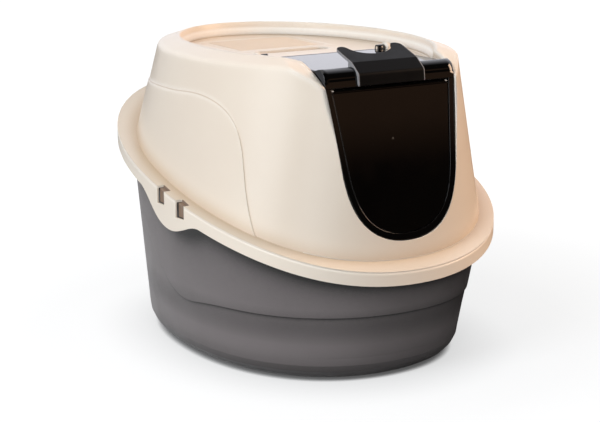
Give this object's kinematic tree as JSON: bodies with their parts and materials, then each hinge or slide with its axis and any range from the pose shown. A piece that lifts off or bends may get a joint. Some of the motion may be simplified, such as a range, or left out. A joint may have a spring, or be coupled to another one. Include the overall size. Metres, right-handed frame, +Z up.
{
  "type": "hooded cat litter box",
  "caption": "Oval cat litter tray with a lift-off hood, a flip-up front door carrying a two-way swing flap, a thumb grip and a lift-out filter cover in the roof.",
  "frame": {"origin": "middle of the footprint on the floor, at the tray's flat bottom", "axes": "+Z up, -Y towards the front with the door, +X to the right seen from the front"},
  "size_m": [0.45, 0.54, 0.4115],
  "materials": {
    "tray_plastic": "satin moulded grey",
    "hood_plastic": "satin moulded cream",
    "door_plastic": "polished black",
    "grip_plastic": "satin black",
    "pin_plastic": "smooth dark grey",
    "filter_foam": "open carbon foam"
  },
  "bodies": {
    "tray_body": {"tray": "tray_plastic"},
    "hood_body": {"hood": "hood_plastic", "carbon_filter": "filter_foam", "door_hinge_pin_left": "pin_plastic", "door_hinge_pin_right": "pin_plastic"},
    "door_body": {"flip_door": "door_plastic", "door_handle": "grip_plastic", "flap_pin_left": "pin_plastic", "flap_pin_right": "pin_plastic"},
    "flap_body": {"swing_flap": "door_plastic"},
    "cover_body": {"filter_cover": "hood_plastic"}
  },
  "joints": [
    {"name": "hood_lift", "type": "slide", "parent": "tray_body", "child": "hood_body", "axis": [0, 0, 1], "range_m": [0, 0.06]},
    {"name": "door_hinge", "type": "hinge", "parent": "hood_body", "child": "door_body", "pos_m": [0, -0.0474, 0.3899], "axis": [-1, 0, 0], "range_deg": [0, 118]},
    {"name": "flap_swing", "type": "hinge", "parent": "door_body", "child": "flap_body", "pos_m": [0, -0.19981, 0.364], "axis": [1, 0, 0], "range_deg": [-75, 75]},
    {"name": "cover_lift", "type": "slide", "parent": "hood_body", "child": "cover_body", "axis": [0, 0, 1], "range_m": [0, 0.03]}
  ]
}
